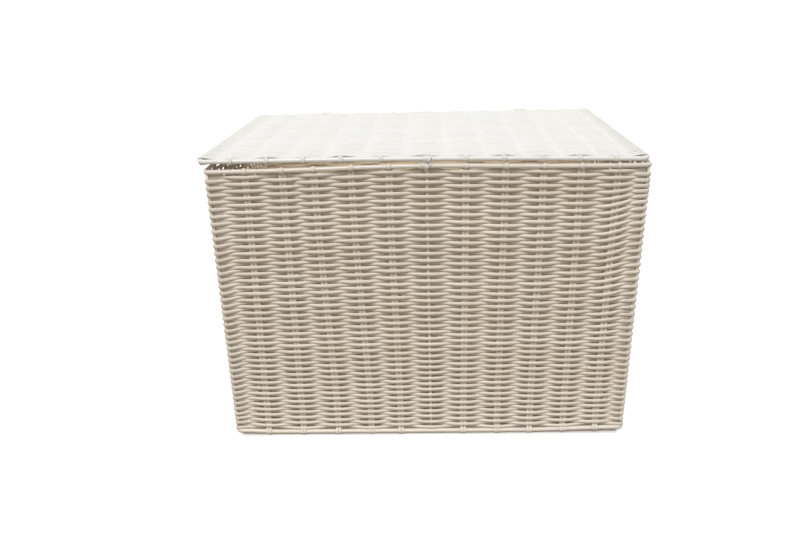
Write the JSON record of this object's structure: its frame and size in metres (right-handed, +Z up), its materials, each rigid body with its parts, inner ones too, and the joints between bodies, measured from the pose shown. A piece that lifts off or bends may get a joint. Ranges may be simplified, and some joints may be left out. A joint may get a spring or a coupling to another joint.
{
  "type": "wicker storage trunk",
  "caption": "Rectangular woven storage trunk with a flat woven lid that swings up and back on strand lashings.",
  "frame": {"origin": "centre of the footprint, on the floor", "axes": "+X to the right seen from the front, +Y to the back where the hinge is, +Z up"},
  "size_m": [0.608, 0.4082, 0.4369],
  "materials": {
    "coated_rod": "steel rod with a smooth ivory plastic coat",
    "stake_strand": "cream round strand with a soft satin sheen, folded double",
    "weave_strand": "cream round strand with a soft satin sheen and slight colour variation",
    "lashing_strand": "cream round strand wound tightly"
  },
  "bodies": {
    "trunk_body": {"bottom_rim_rod": "coated_rod", "top_rim_rod": "coated_rod", "corner_post_front_left": "coated_rod", "corner_post_front_right": "coated_rod", "corner_post_back_left": "coated_rod", "corner_post_back_right": "coated_rod", "front_middle_post": "coated_rod", "back_middle_post": "coated_rod", "left_middle_post": "coated_rod", "right_middle_post": "coated_rod", "bottom_middle_bar": "coated_rod", "long_stake_1": "stake_strand", "long_stake_2": "stake_strand", "long_stake_3": "stake_strand", "long_stake_4": "stake_strand", "long_stake_5": "stake_strand", "long_stake_6": "stake_strand", "long_stake_7": "stake_strand", "long_stake_8": "stake_strand", "long_stake_9": "stake_strand", "long_stake_10": "stake_strand", "left_stake_1": "stake_strand", "left_stake_2": "stake_strand", "left_stake_3": "stake_strand", "left_stake_4": "stake_strand", "left_stake_5": "stake_strand", "left_stake_6": "stake_strand", "right_stake_1": "stake_strand", "right_stake_2": "stake_strand", "right_stake_3": "stake_strand", "right_stake_4": "stake_strand", "right_stake_5": "stake_strand", "right_stake_6": "stake_strand", "front_weave": "weave_strand", "back_weave": "weave_strand", "left_weave": "weave_strand", "right_weave": "weave_strand", "bottom_weave": "weave_strand", "hinge_lashing_left": "lashing_strand", "hinge_lashing_right": "lashing_strand"},
    "lid": {"lid_rim_rod": "coated_rod", "lid_middle_bar": "coated_rod", "lid_stake_1": "stake_strand", "lid_stake_2": "stake_strand", "lid_stake_3": "stake_strand", "lid_stake_4": "stake_strand", "lid_stake_5": "stake_strand", "lid_stake_6": "stake_strand", "lid_stake_7": "stake_strand", "lid_stake_8": "stake_strand", "lid_stake_9": "stake_strand", "lid_stake_10": "stake_strand", "lid_weave": "weave_strand"}
  },
  "joints": [
    {"name": "lid_hinge", "type": "hinge", "parent": "trunk_body", "child": "lid", "pos_m": [0, 0.197, 0.4299], "axis": [-1, 0, 0], "range_deg": [0, 190]}
  ]
}
